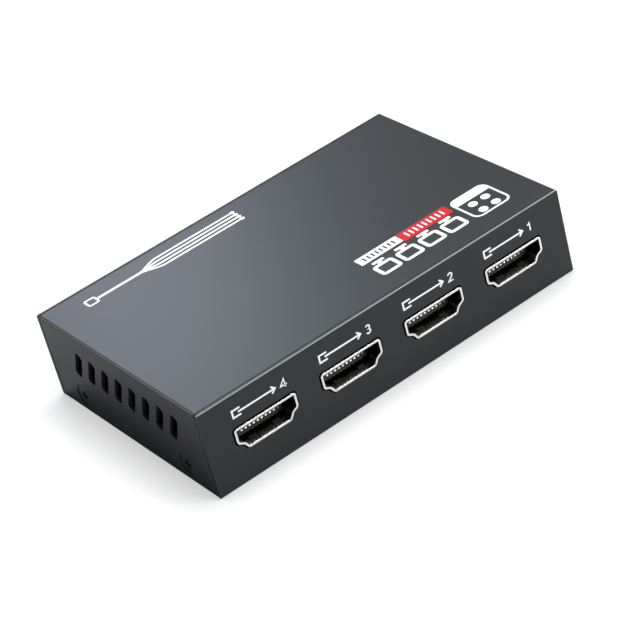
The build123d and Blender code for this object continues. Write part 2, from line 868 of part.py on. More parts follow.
# Output 1 is at the right-hand end, seen from the side of the outputs.
sockets = {f"output_{output_count - n}": socket_place(x, -1) for n, x in enumerate(output_places)}
sockets["input"] = socket_place(-input_offset, 1)
shell = socket_shell()
insert = socket_insert()
contacts = socket_contacts()
for name, place in sockets.items():
    nodes[f"{name}_shell"] = place * shell
    nodes[f"{name}_insert"] = place * insert
    nodes[f"{name}_contacts"] = group([place * contact for contact in contacts])

for name, part in nodes.items():
    export_step(part, f"parts/{name}.step")
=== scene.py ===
# %% [markdown]
# A small video splitter stands on a pale sheet: a folded steel case in satin dark-grey paint, with four
# sockets along its front and a row of vent slots in each end. This lesson dresses its CAD model. The
# model stays as the frame, and each step says what the real finish is, how it could be made in Blender,
# and why it is made this way.

# %% Load the frame
import math

import bmesh
import bpy
import numpy as np
from mathutils import Matrix, Vector


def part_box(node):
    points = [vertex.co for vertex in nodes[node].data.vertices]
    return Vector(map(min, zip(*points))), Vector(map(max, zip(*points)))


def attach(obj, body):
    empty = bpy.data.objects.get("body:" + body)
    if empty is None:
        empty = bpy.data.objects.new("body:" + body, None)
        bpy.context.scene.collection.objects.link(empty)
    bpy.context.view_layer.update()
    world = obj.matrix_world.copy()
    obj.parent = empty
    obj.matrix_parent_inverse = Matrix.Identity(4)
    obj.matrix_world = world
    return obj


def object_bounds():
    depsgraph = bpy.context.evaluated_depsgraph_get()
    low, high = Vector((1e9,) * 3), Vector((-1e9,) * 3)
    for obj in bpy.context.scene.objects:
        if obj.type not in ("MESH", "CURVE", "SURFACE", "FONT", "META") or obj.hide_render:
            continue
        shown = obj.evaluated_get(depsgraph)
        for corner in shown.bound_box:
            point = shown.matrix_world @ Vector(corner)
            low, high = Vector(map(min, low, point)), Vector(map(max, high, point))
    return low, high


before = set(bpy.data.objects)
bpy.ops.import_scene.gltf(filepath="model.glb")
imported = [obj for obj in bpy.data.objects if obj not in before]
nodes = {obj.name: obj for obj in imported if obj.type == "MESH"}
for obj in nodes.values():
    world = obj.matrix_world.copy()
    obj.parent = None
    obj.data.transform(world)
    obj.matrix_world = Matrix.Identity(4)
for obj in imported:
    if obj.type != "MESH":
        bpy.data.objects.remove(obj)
cad_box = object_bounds()
BODY = "root"
print("nodes", len(nodes), "box", [round(v * 1000, 2) for corner in cad_box for v in corner])

# %% [markdown]
# ## The camera
# The photograph was taken with a long lens from above the left end, and the camera was tilted a little
# about its own axis. The straight edges of the case fix all of that: with the corners of a box of known
# shape, the lens, the place and the three directions of the camera can be worked out. A tracked empty
# would lose the tilt, so the three directions are written into the camera's matrix as they are.

# %% Camera
SENSOR = 0.036
FRAME_PIXELS = 640
FOCAL_PIXELS = 2457.47
VIEW_RIGHT = np.array((0.77421725, -0.59146118, -0.22530274))
VIEW_DOWN = np.array((-0.48486085, -0.32544915, -0.81178372))
VIEW_AHEAD = np.array((0.40681397, 0.73773744, -0.53874472))
CAMERA_PLACE = (-0.20852, -0.38081, 0.28038)

camera_data = bpy.data.cameras.new("camera")
camera_data.sensor_width = SENSOR * 1000
camera_data.lens = FOCAL_PIXELS / FRAME_PIXELS * SENSOR * 1000
camera_data.clip_start = 0.01
camera_data.clip_end = 10.0
camera = bpy.data.objects.new("camera", camera_data)
turn = Matrix(np.column_stack((VIEW_RIGHT, -VIEW_DOWN, -VIEW_AHEAD)).tolist())
camera.matrix_world = Matrix.Translation(Vector(CAMERA_PLACE)) @ turn.to_4x4()
bpy.context.scene.collection.objects.link(camera)
bpy.context.scene.camera = camera
print("lens in mm", round(camera_data.lens, 1))

# %% [markdown]
# ## The studio
# The object was photographed on white, with a faint soft shadow close round it. A broad lamp hangs
# above it, a smaller one stands at the right of the front, and a small cool one stands behind it, where
# the cover mirrors it: that one gives the satin paint its sheen, which fades from left to right.
# Area lamps are used for all three, because a larger lamp gives a softer shadow.

# %% Lamps
bpy.context.scene.view_settings.view_transform = "Standard"


def area_lamp(name, place, target, size, power, color=(1, 1, 1)):
    """Square soft lamp at a place, turned so that it shines at a target point."""
    lamp = bpy.data.lights.new(name, "AREA")
    lamp.color = color
    lamp.shape = "SQUARE"
    lamp.size = size
    lamp.energy = power
    holder = bpy.data.objects.new(name, lamp)
    holder.location = place
    aim = Vector(target) - Vector(place)
    holder.rotation_mode = "QUATERNION"
    holder.rotation_quaternion = aim.to_track_quat("-Z", "Y")
    bpy.context.scene.collection.objects.link(holder)
    return holder


lamps = [
    area_lamp("lamp_above", (0.38, 0.16, 0.80), target=(0, 0, 0), size=0.5, power=6.3),
    area_lamp("lamp_side", (0.24, -0.38, 0.42), target=(0.01, 0, 0.01), size=0.30, power=3.2),
    area_lamp("lamp_sheen", (0.116, 0.353, 0.262), target=(-0.045, 0, 0.027), size=0.11, power=0.62,
              color=(0.78, 0.85, 1.0)),
]
print("lamps", [(lamp.name, lamp.data.energy) for lamp in lamps])

# %% [markdown]
# The room round the object lights it evenly and a little cool. Its white is a matter of colour and not
# of more light: the camera and glass see a second, plain white background, chosen by the kind of ray,
# while the light that falls on the object comes from the first.

# %% Air round the object
AIR_COLOR = (0.9, 0.92, 0.95, 1.0)
AIR_STRENGTH = 0.27
WHITE = (1.0, 1.0, 1.0, 1.0)

world = bpy.data.worlds.new("studio")
bpy.context.scene.world = world
world.use_nodes = True
air = world.node_tree
sky = air.nodes["Background"]
sky.inputs["Color"].default_value = AIR_COLOR
sky.inputs["Strength"].default_value = AIR_STRENGTH
backdrop = air.nodes.new("ShaderNodeBackground")
backdrop.inputs["Color"].default_value = WHITE
ray_kind = air.nodes.new("ShaderNodeLightPath")
looked_at = air.nodes.new("ShaderNodeMath")
looked_at.operation = "MAXIMUM"
air_or_white = air.nodes.new("ShaderNodeMixShader")
air.links.new(ray_kind.outputs["Is Camera Ray"], looked_at.inputs[0])
air.links.new(ray_kind.outputs["Is Transmission Ray"], looked_at.inputs[1])
air.links.new(looked_at.outputs[0], air_or_white.inputs["Fac"])
air.links.new(sky.outputs[0], air_or_white.inputs[1])
air.links.new(backdrop.outputs[0], air_or_white.inputs[2])
air.links.new(air_or_white.outputs[0], air.nodes["World Output"].inputs["Surface"])
print("world", world.name, "with nodes", len(air.nodes))

# %% [markdown]
# The floor is one sheet that runs far past the frame. Its height is a function of the distance behind
# the object: flat near it, and rising smoothly far behind, as a paper sweep in a studio does. The sheet
# has an opening under the object, a little smaller than its footprint, and is seen through from below,
# so that the underside can be looked at in a light of its own.

# %% Floor
FLOOR_HALF = 3.0
SWEEP_START = 1.2
SWEEP_RADIUS = 1.5
FLOOR_STEPS = 61
FOOT_INSET = 0.001


def grid_mesh(name, points):
    """Mesh from an array of points of shape (rows, columns, 3): each cell of the grid is one face."""
    rows, columns = points.shape[:2]
    index = np.arange(rows * columns).reshape(rows, columns)
    faces = np.stack((index[:-1, :-1], index[:-1, 1:], index[1:, 1:], index[1:, :-1]), axis=-1)
    mesh = bpy.data.meshes.new(name)
    mesh.from_pydata(points.reshape(-1, 3).tolist(), [], faces.reshape(-1, 4).tolist())
    mesh.update()
    return mesh


def sweep_height(depth):
    """Height of the paper at a depth: zero up to the sweep's start, then a square law."""
    return np.clip(depth - SWEEP_START, 0, None) ** 2 / (2 * SWEEP_RADIUS)


def with_opening(half):
    """Even steps over the floor, with the two edges of the opening put in between."""
    return np.sort(np.concatenate((np.linspace(-FLOOR_HALF, FLOOR_HALF, FLOOR_STEPS), (-half, half))))


half_x, half_y = cad_box[1][0] - FOOT_INSET, cad_box[1][1] - FOOT_INSET
across, depth = np.meshgrid(with_opening(half_x), with_opening(half_y))
sheet = grid_mesh("floor", np.stack((across, depth, sweep_height(depth)), axis=-1))
centres = np.array([face.center[:2] for face in sheet.polygons])
covered = (np.abs(centres) < (half_x, half_y)).all(axis=1)
cut = bmesh.new()
cut.from_mesh(sheet)
cut.faces.ensure_lookup_table()
bmesh.ops.delete(cut, geom=[cut.faces[k] for k in np.flatnonzero(covered)], context="FACES")
cut.to_mesh(sheet)
cut.free()
floor = bpy.data.objects.new("floor", sheet)
bpy.context.scene.collection.objects.link(floor)
print("floor faces", len(floor.data.polygons))

# %% [markdown]
# The paper is white. What the camera sees of it is a part of its light and shade plus a brightness of
# its own, so that the shadow by the object stays, but faint as in the photograph. That brightness is
# lowered close to the object, as a painted contact shadow: at the foot of a wall half of the directions
# are hidden, and there the loss is full. Farther out the camera, mirrors and glass all see plain white.
# The light that reaches the object is what the paper throws back.

# %% Paper material
PAPER_WHITE = (0.68, 0.685, 0.69, 1.0)
PAPER_SHOWN = (0.22, 0.222, 0.225, 1.0)
PAPER_LIFT = 0.86
GLOW_INNER = 0.25
GLOW_OUTER = 0.60
CONTACT_REACH = 0.010
CONTACT_SHADOW_LOSS = 0.36
HALF_HIDDEN = 0.5


def new_material(name):
    """Material with a Principled shader: the material, its nodes, its links and the shader."""
    material = bpy.data.materials.new(name)
    material.use_nodes = True
    tree = material.node_tree
    return material, tree.nodes, tree.links, tree.nodes["Principled BSDF"]


def add(tree_nodes, kind, **values):
    """New node of a kind, with settings by name and input values by name in inputs."""
    node = tree_nodes.new(kind)
    for key, value in values.pop("inputs", {}).items():
        node.inputs[key].default_value = value
    for key, value in values.items():
        setattr(node, key, value)
    return node


paper, n, links, shader = new_material("paper")
n.remove(shader)
diffuse = add(n, "ShaderNodeBsdfDiffuse")
tone = add(n, "ShaderNodeMix", data_type="RGBA")
tone.inputs[6].default_value = PAPER_WHITE
tone.inputs[7].default_value = PAPER_SHOWN
glow = add(n, "ShaderNodeEmission", inputs={"Color": WHITE})
both = add(n, "ShaderNodeAddShader")
white = add(n, "ShaderNodeEmission", inputs={"Color": WHITE, "Strength": 1.0})
rays = add(n, "ShaderNodeLightPath")
seen = add(n, "ShaderNodeMath", operation="MAXIMUM")
seen_too = add(n, "ShaderNodeMath", operation="MAXIMUM")
lift = add(n, "ShaderNodeMath", operation="MULTIPLY", inputs={1: PAPER_LIFT})
place = add(n, "ShaderNodeTexCoord")
reach = add(n, "ShaderNodeVectorMath", operation="LENGTH")
far = add(n, "ShaderNodeMapRange", interpolation_type="SMOOTHSTEP",
          inputs={"From Min": GLOW_INNER, "From Max": GLOW_OUTER})
far_seen = add(n, "ShaderNodeMath", operation="MULTIPLY")
blend = add(n, "ShaderNodeMixShader")
links.new(rays.outputs["Is Camera Ray"], tone.inputs[0])
links.new(tone.outputs[2], diffuse.inputs["Color"])
links.new(rays.outputs["Is Camera Ray"], seen.inputs[0])
links.new(rays.outputs["Is Glossy Ray"], seen.inputs[1])
links.new(seen.outputs[0], seen_too.inputs[0])
links.new(rays.outputs["Is Transmission Ray"], seen_too.inputs[1])
links.new(rays.outputs["Is Camera Ray"], lift.inputs[0])
# painted contact shadow: the paper's own brightness is lowered where nearby faces hide it
hidden = add(n, "ShaderNodeAmbientOcclusion", samples=8, inputs={"Distance": CONTACT_REACH})
shade = add(n, "ShaderNodeMapRange", inputs={"From Min": HALF_HIDDEN, "To Min": 1.0 - CONTACT_SHADOW_LOSS})
shaded = add(n, "ShaderNodeMath", operation="MULTIPLY")
links.new(hidden.outputs["AO"], shade.inputs["Value"])
links.new(lift.outputs[0], shaded.inputs[0])
links.new(shade.outputs["Result"], shaded.inputs[1])
links.new(shaded.outputs[0], glow.inputs["Strength"])
links.new(diffuse.outputs[0], both.inputs[0])
links.new(glow.outputs[0], both.inputs[1])
links.new(place.outputs["Object"], reach.inputs[0])
links.new(reach.outputs["Value"], far.inputs["Value"])
links.new(far.outputs["Result"], far_seen.inputs[0])
links.new(seen_too.outputs[0], far_seen.inputs[1])
links.new(far_seen.outputs[0], blend.inputs["Fac"])
links.new(both.outputs[0], blend.inputs[1])
links.new(white.outputs[0], blend.inputs[2])
clear = add(n, "ShaderNodeBsdfTransparent")
side = add(n, "ShaderNodeNewGeometry")
from_below = add(n, "ShaderNodeMixShader")
links.new(side.outputs["Backfacing"], from_below.inputs["Fac"])
links.new(blend.outputs[0], from_below.inputs[1])
links.new(clear.outputs[0], from_below.inputs[2])
links.new(from_below.outputs[0], n["Material Output"].inputs["Surface"])
floor.data.materials.append(paper)
print("paper", paper.name, "with nodes", len(n))

# %% [markdown]
# ## Effects that several finishes share
# Some effects come back on many pieces, so each is a node group with its own inputs, and each material
# sets it to its own scale. The groups give out only values, colours and normals; the shader stays in
# the material. The first is the fine grain of paint, plastic and plated metal: small noise, which moves
# the gloss and, as a bump, the relief. The bump starts from a bevelled normal, which rounds sharp edges
# in the light without a single face more.

# %% Fine grain


def new_group(name, inputs, outputs):
    """Shader node group with named sockets: inputs are (name, kind, value) and outputs (name, kind)."""
    group = bpy.data.node_groups.new(name, "ShaderNodeTree")
    for label, kind, value in inputs:
        socket = group.interface.new_socket(label, in_out="INPUT", socket_type=kind)
        socket.default_value = value
    for label, kind in outputs:
        group.interface.new_socket(label, in_out="OUTPUT", socket_type=kind)
    return group, group.nodes.new("NodeGroupInput"), group.nodes.new("NodeGroupOutput")


FLOAT, COLOR, VECTOR = "NodeSocketFloat", "NodeSocketColor", "NodeSocketVector"

grain, ins, outs = new_group(
    "fine_grain",
    [("Scale", FLOAT, 3000.0), ("Depth", FLOAT, 0.00001), ("Roundness", FLOAT, 0.00012)],
    [("Value", FLOAT), ("Normal", VECTOR)],
)
g = grain.nodes
place = add(g, "ShaderNodeTexCoord")
speckle = add(g, "ShaderNodeTexNoise", inputs={"Detail": 2.0, "Roughness": 0.55})
edge = add(g, "ShaderNodeBevel", samples=6)
bump = add(g, "ShaderNodeBump", inputs={"Strength": 1.0})
grain.links.new(place.outputs["Object"], speckle.inputs["Vector"])
grain.links.new(ins.outputs["Scale"], speckle.inputs["Scale"])
grain.links.new(ins.outputs["Roundness"], edge.inputs["Radius"])
grain.links.new(ins.outputs["Depth"], bump.inputs["Distance"])
grain.links.new(speckle.outputs["Fac"], bump.inputs["Height"])
grain.links.new(edge.outputs["Normal"], bump.inputs["Normal"])
grain.links.new(speckle.outputs["Fac"], outs.inputs["Value"])
grain.links.new(bump.outputs["Normal"], outs.inputs["Normal"])
print("group", grain.name, "with nodes", len(g))

# %% [markdown]
# No real surface has one even tone. Here large, soft noise mixes two colours that lie close together,
# which is enough to keep a flat face from looking like plain plastic.

# %% Slow drift of tone
drift, ins, outs = new_group(
    "slow_drift",
    [("Low", COLOR, (0, 0, 0, 1)), ("High", COLOR, (1, 1, 1, 1)), ("Scale", FLOAT, 60.0)],
    [("Color", COLOR)],
)
g = drift.nodes
place = add(g, "ShaderNodeTexCoord")
cloud = add(g, "ShaderNodeTexNoise", inputs={"Detail": 3.0, "Roughness": 0.5})
mixed = add(g, "ShaderNodeMix", data_type="RGBA")
drift.links.new(place.outputs["Object"], cloud.inputs["Vector"])
drift.links.new(ins.outputs["Scale"], cloud.inputs["Scale"])
drift.links.new(cloud.outputs["Fac"], mixed.inputs[0])
drift.links.new(ins.outputs["Low"], mixed.inputs[6])
drift.links.new(ins.outputs["High"], mixed.inputs[7])
drift.links.new(mixed.outputs[2], outs.inputs["Color"])
print("group", drift.name, "with nodes", len(g))

# %% [markdown]
# Edges are a little rubbed, and their lighter tone is also a painted highlight, standing in for the
# light that real edges catch. Where the bevelled normal departs from the face's own, their dot product
# drops below one, and a ramp turns what is missing into a mask of the edges.

# %% Edge mask (wear and painted highlight)
edge_wear_and_highlight, ins, outs = new_group(
    "edge_mask",
    [("Radius", FLOAT, 0.0003), ("Start", FLOAT, 0.01), ("Full", FLOAT, 0.12)],
    [("Mask", FLOAT)],
)
g = edge_wear_and_highlight.nodes
edge = add(g, "ShaderNodeBevel", samples=8)
surface = add(g, "ShaderNodeNewGeometry")
turned = add(g, "ShaderNodeVectorMath", operation="DOT_PRODUCT")
apart = add(g, "ShaderNodeMath", operation="SUBTRACT", inputs={0: 1.0})
ramp = add(g, "ShaderNodeMapRange", interpolation_type="SMOOTHSTEP")
edge_wear_and_highlight.links.new(ins.outputs["Radius"], edge.inputs["Radius"])
edge_wear_and_highlight.links.new(edge.outputs["Normal"], turned.inputs[0])
edge_wear_and_highlight.links.new(surface.outputs["Normal"], turned.inputs[1])
edge_wear_and_highlight.links.new(turned.outputs["Value"], apart.inputs[1])
edge_wear_and_highlight.links.new(apart.outputs[0], ramp.inputs["Value"])
edge_wear_and_highlight.links.new(ins.outputs["Start"], ramp.inputs["From Min"])
edge_wear_and_highlight.links.new(ins.outputs["Full"], ramp.inputs["From Max"])
edge_wear_and_highlight.links.new(ramp.outputs["Result"], outs.inputs["Mask"])
print("group", edge_wear_and_highlight.name, "with nodes", len(g))

# %% [markdown]
# The next three masks go by place. Along the folds round the top the paint gets a painted highlight, a
# lighter tone that stands in for the light that the bends catch. A point's distance to the nearer side
# face and its distance to the top are both small only there, so the mask is a ramp over the larger of
# the two.

# %% Fold highlight mask (painted highlight)
fold_highlight, ins, outs = new_group(
    "fold_highlight_mask",
    [("Half Length", FLOAT, 0.05), ("Half Depth", FLOAT, 0.03), ("Height", FLOAT, 0.02),
     ("Full", FLOAT, 0.00012), ("End", FLOAT, 0.0003)],
    [("Mask", FLOAT)],
)
g = fold_highlight.nodes
place = add(g, "ShaderNodeTexCoord")
split = add(g, "ShaderNodeSeparateXYZ")
near = add(g, "ShaderNodeMath", operation="MINIMUM")
apart = add(g, "ShaderNodeMath", operation="MAXIMUM")
ramp = add(g, "ShaderNodeMapRange", interpolation_type="SMOOTHSTEP",
           inputs={"To Min": 1.0, "To Max": 0.0})
fold_highlight.links.new(place.outputs["Object"], split.inputs[0])
for axis, label, slot in (("X", "Half Length", 0), ("Y", "Half Depth", 1), ("Z", "Height", 0)):
    size = add(g, "ShaderNodeMath", operation="ABSOLUTE")
    left = add(g, "ShaderNodeMath", operation="SUBTRACT")
    fold_highlight.links.new(split.outputs[axis], size.inputs[0])
    fold_highlight.links.new(ins.outputs[label], left.inputs[0])
    fold_highlight.links.new(size.outputs[0], left.inputs[1])
    fold_highlight.links.new(left.outputs[0], (apart if axis == "Z" else near).inputs[slot])
fold_highlight.links.new(near.outputs[0], apart.inputs[1])
fold_highlight.links.new(apart.outputs[0], ramp.inputs["Value"])
fold_highlight.links.new(ins.outputs["Full"], ramp.inputs["From Min"])
fold_highlight.links.new(ins.outputs["End"], ramp.inputs["From Max"])
fold_highlight.links.new(ramp.outputs["Result"], outs.inputs["Mask"])
print("group", fold_highlight.name, "with nodes", len(g))

# %% [markdown]
# At both ends the cover meets the tray's side panels in a thin seam, and the shade in its gap is
# painted nearly black. The mask is a narrow band about that depth, and counts only on the end faces,
# past half the length.

# %% Seam shade mask (painted shade)
seam_shade, ins, outs = new_group(
    "seam_shade_mask",
    [("Half Length", FLOAT, 0.05), ("Middle", FLOAT, 0.03), ("Full", FLOAT, 0.0001),
     ("End", FLOAT, 0.0002)],
    [("Mask", FLOAT)],
)
g = seam_shade.nodes
place = add(g, "ShaderNodeTexCoord")
split = add(g, "ShaderNodeSeparateXYZ")
across = add(g, "ShaderNodeMath", operation="ABSOLUTE")
off = add(g, "ShaderNodeMath", operation="SUBTRACT")
distance = add(g, "ShaderNodeMath", operation="ABSOLUTE")
along = add(g, "ShaderNodeMath", operation="ABSOLUTE")
at_end = add(g, "ShaderNodeMath", operation="GREATER_THAN")
ramp = add(g, "ShaderNodeMapRange", interpolation_type="SMOOTHSTEP",
           inputs={"To Min": 1.0, "To Max": 0.0})
both = add(g, "ShaderNodeMath", operation="MULTIPLY")
seam_shade.links.new(place.outputs["Object"], split.inputs[0])
seam_shade.links.new(split.outputs["Y"], across.inputs[0])
seam_shade.links.new(across.outputs[0], off.inputs[0])
seam_shade.links.new(ins.outputs["Middle"], off.inputs[1])
seam_shade.links.new(off.outputs[0], distance.inputs[0])
seam_shade.links.new(distance.outputs[0], ramp.inputs["Value"])
seam_shade.links.new(ins.outputs["Full"], ramp.inputs["From Min"])
seam_shade.links.new(ins.outputs["End"], ramp.inputs["From Max"])
seam_shade.links.new(split.outputs["X"], along.inputs[0])
seam_shade.links.new(along.outputs[0], at_end.inputs[0])
seam_shade.links.new(ins.outputs["Half Length"], at_end.inputs[1])
seam_shade.links.new(ramp.outputs["Result"], both.inputs[0])
seam_shade.links.new(at_end.outputs[0], both.inputs[1])
seam_shade.links.new(both.outputs[0], outs.inputs["Mask"])
print("group", seam_shade.name, "with nodes", len(g))

# %% [markdown]
# Inside a socket the metal is darkened with painted shade, while its rim keeps its bright colour. The
# mask grows with the depth behind the mouth. It is also full above a given height, so that of the
# contacts only the tips keep their bright colour, and the rest gets painted shade.

# %% Depth mask (painted shade)
deep, ins, outs = new_group(
    "depth_mask",
    [("Mouth", FLOAT, 0.03), ("Start", FLOAT, 0.0005), ("End", FLOAT, 0.002), ("Ceiling", FLOAT, 1.0)],
    [("Mask", FLOAT)],
)
g = deep.nodes
above = add(g, "ShaderNodeMath", operation="GREATER_THAN")
either = add(g, "ShaderNodeMath", operation="MAXIMUM")
place = add(g, "ShaderNodeTexCoord")
split = add(g, "ShaderNodeSeparateXYZ")
size = add(g, "ShaderNodeMath", operation="ABSOLUTE")
left = add(g, "ShaderNodeMath", operation="SUBTRACT")
ramp = add(g, "ShaderNodeMapRange", interpolation_type="SMOOTHSTEP")
deep.links.new(place.outputs["Object"], split.inputs[0])
deep.links.new(split.outputs["Y"], size.inputs[0])
deep.links.new(ins.outputs["Mouth"], left.inputs[0])
deep.links.new(size.outputs[0], left.inputs[1])
deep.links.new(left.outputs[0], ramp.inputs["Value"])
deep.links.new(ins.outputs["Start"], ramp.inputs["From Min"])
deep.links.new(ins.outputs["End"], ramp.inputs["From Max"])
deep.links.new(split.outputs["Z"], above.inputs[0])
deep.links.new(ins.outputs["Ceiling"], above.inputs[1])
deep.links.new(ramp.outputs["Result"], either.inputs[0])
deep.links.new(above.outputs[0], either.inputs[1])
deep.links.new(either.outputs[0], outs.inputs["Mask"])
print("group", deep.name, "with nodes", len(g))

# %% [markdown]
# ## Finishes
# Most finishes of this object are one recipe with other numbers: a base colour that drifts a little, a
# grain that shows in the gloss and in the relief, and edges that are a little lighter, partly by wear
# and partly as a painted highlight. So one function makes them, and each finish gives its own values:
# the darker and the lighter tone, the lighter tone of the edges (wear and painted highlight), and the
# roughness.

# %% Finish recipe


def finish(name, low, high, edge_wear_and_highlight_tone, roughness, metallic=0.0, tone_scale=60.0,
           grain_scale=3000.0, grain_depth=0.000004, roundness=0.0001, edge_radius=0.0002,
           rough_change=0.12, marks=(), **settings):
    """Material whose colour drifts from low to high, with fine grain and edges made lighter by wear and
    by a painted highlight. Each mark is a group that goes by place, its values, and the colour that it
    brings where its mask says so."""
    material, n, links, shader = new_material(name)
    tone = add(n, "ShaderNodeGroup", node_tree=drift)
    tone.inputs["Low"].default_value = (*low, 1.0)
    tone.inputs["High"].default_value = (*high, 1.0)
    tone.inputs["Scale"].default_value = tone_scale
    relief = add(n, "ShaderNodeGroup", node_tree=grain)
    relief.inputs["Scale"].default_value = grain_scale
    relief.inputs["Depth"].default_value = grain_depth
    relief.inputs["Roundness"].default_value = roundness
    edges = add(n, "ShaderNodeGroup", node_tree=edge_wear_and_highlight)
    edges.inputs["Radius"].default_value = edge_radius
    # the edge tone is wear plus a painted highlight on the edges
    color = add(n, "ShaderNodeMix", data_type="RGBA")
    color.inputs[7].default_value = (*edge_wear_and_highlight_tone, 1.0)
    gloss = add(n, "ShaderNodeMapRange", inputs={"To Min": roughness - rough_change / 2,
                                                 "To Max": roughness + rough_change / 2})
    links.new(edges.outputs["Mask"], color.inputs[0])
    links.new(tone.outputs["Color"], color.inputs[6])
    shown = color
    for group, values, mark_color in marks:
        where = add(n, "ShaderNodeGroup", node_tree=group)
        for key, value in values.items():
            where.inputs[key].default_value = value
        before, shown = shown, add(n, "ShaderNodeMix", data_type="RGBA")
        shown.inputs[7].default_value = (*mark_color, 1.0)
        links.new(where.outputs["Mask"], shown.inputs[0])
        links.new(before.outputs[2], shown.inputs[6])
    links.new(shown.outputs[2], shader.inputs["Base Color"])
    links.new(relief.outputs["Value"], gloss.inputs["Value"])
    links.new(gloss.outputs["Result"], shader.inputs["Roughness"])
    links.new(relief.outputs["Normal"], shader.inputs["Normal"])
    shader.inputs["Metallic"].default_value = metallic
    for key, value in settings.items():
        shader.inputs[key.replace("_", " ")].default_value = value
    return material


def dress(material, *names):
    """Gives CAD nodes a material in the slot that they already have."""
    for name in names:
        mesh = nodes[name].data
        mesh.materials.clear()
        mesh.materials.append(material)
    print(material.name, "on", len(names), "nodes")


# %% [markdown]
# ### Case and screws
# The case is sprayed dark grey and satin, with a low, even sheen: a dark base colour and little
# reflection, so that the lamp behind it brings out the left part of the cover. Along the folds a
# painted highlight makes the paint lighter, and the seams at the ends are painted nearly black as
# shade. The screws are blackened steel, a shade darker than the case.

# %% Case and screws
END_FACE_DEPTH = 0.0003
# painted highlight: the light tone along the folds round the top
FOLD_HIGHLIGHT = (0.27, 0.285, 0.29)
# painted shade: the near-black tone in the seams at the ends
SEAM_SHADE = (0.003, 0.003, 0.003)
case_low, case_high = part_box("base_tray")[0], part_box("top_cover")[1]
fold_highlight_place = {"Half Length": -case_low.x, "Half Depth": -case_low.y, "Height": case_high.z}
seam_shade_place = {"Half Length": -case_low.x - END_FACE_DEPTH, "Middle": case_high.y}
# painted light here: the edge tone and the fold tone are painted highlights, the seam tone is painted
# shade
case_paint = finish("case_paint", (0.0215, 0.0248, 0.0258), (0.0255, 0.029, 0.030),
                    (0.05, 0.053, 0.055), 0.38, grain_scale=5000.0, roundness=0.00012,
                    marks=[(fold_highlight, fold_highlight_place, FOLD_HIGHLIGHT), (seam_shade, seam_shade_place, SEAM_SHADE)],
                    Specular_IOR_Level=0.17)
dress(case_paint, "base_tray", "top_cover")
screw_black = finish("screw_black", (0.016, 0.015, 0.0155), (0.024, 0.0225, 0.023),
                     (0.06, 0.058, 0.058), 0.36, metallic=0.3)
dress(screw_black, "cover_screws")

# %% [markdown]
# ### Sockets and power jack
# A socket is a folded shell of nickel-plated steel round black plastic. Its rim shines, and its inside
# is painted much darker, as painted shade for light that falls in from one side only. The contacts are
# gilt, and of these only the tips, bent over the front of the tongue, keep their bright colour: behind
# them the contacts get painted shade.

# %% Sockets and power jack
# painted shade: the tones for the inside of the shell and for the contacts behind their tips
SHELL_PAINTED_SHADE = (0.19, 0.175, 0.155)
CONTACT_PAINTED_SHADE = (0.07, 0.055, 0.035)
TIP_SHADED = 0.0002
sockets = ["output_1", "output_2", "output_3", "output_4", "input"]
socket_mouth = -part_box("output_1_shell")[0].y
inside_shell = {"Mouth": socket_mouth, "Start": 0.00015, "End": 0.0004}
nickel = finish("nickel", (0.74, 0.735, 0.725), (0.82, 0.815, 0.805), (0.96, 0.955, 0.95), 0.24,
                metallic=1.0, marks=[(deep, inside_shell, SHELL_PAINTED_SHADE)])
dress(nickel, *[f"{name}_shell" for name in sockets])
moulding = finish("black_moulding", (0.010, 0.010, 0.011), (0.016, 0.016, 0.017),
                  (0.03, 0.03, 0.03), 0.5)
dress(moulding, *[f"{name}_insert" for name in sockets], "power_jack_housing")
tip_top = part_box("output_1_contacts")[1].z
behind_tips = {"Mouth": socket_mouth, "Start": 0.0029, "End": 0.00298, "Ceiling": tip_top - TIP_SHADED}
contact_gold = finish("contact_gold", (0.80, 0.76, 0.68), (0.86, 0.82, 0.75), (0.92, 0.89, 0.84),
                      0.3, metallic=1.0, marks=[(deep, behind_tips, CONTACT_PAINTED_SHADE)])
dress(contact_gold, *[f"{name}_contacts" for name in sockets])

# %% [markdown]
# ### Inside the case
# The board and its parts show only through the vents, or when the cover is taken away. Each still gets
# its usual finish: zinc on screws and springs, brass pillars, green lacquer on the board, black moulded
# chips with tinned leads, grey rubbery pad, dark anodised aluminium, bright cans, ferrite and ceramic.

# %% Metals inside the case
zinc = finish("zinc", (0.50, 0.51, 0.52), (0.62, 0.63, 0.64), (0.85, 0.86, 0.88), 0.34, metallic=1.0)
dress(zinc, "board_screws", "power_jack_pin", "power_jack_spring", "led_leads")
brass = finish("brass_pillar", (0.55, 0.40, 0.17), (0.66, 0.49, 0.22), (0.86, 0.70, 0.40), 0.33,
               metallic=1.0)
dress(brass, "board_standoffs")
tin = finish("lead_tin", (0.58, 0.58, 0.57), (0.68, 0.68, 0.67), (0.85, 0.85, 0.84), 0.38,
             metallic=1.0)
dress(tin, "splitter_chip_leads", "controller_chip_leads", "voltage_regulator_leads")
sink_aluminium = finish("sink_aluminium", (0.10, 0.10, 0.11), (0.14, 0.14, 0.15), (0.6, 0.6, 0.62),
                        0.42, metallic=0.85)
dress(sink_aluminium, "heat_sink")
can_metal = finish("can_metal", (0.62, 0.63, 0.65), (0.72, 0.73, 0.75), (0.9, 0.9, 0.92), 0.27,
                   metallic=1.0)
dress(can_metal, "clock_crystal", "filter_capacitors")

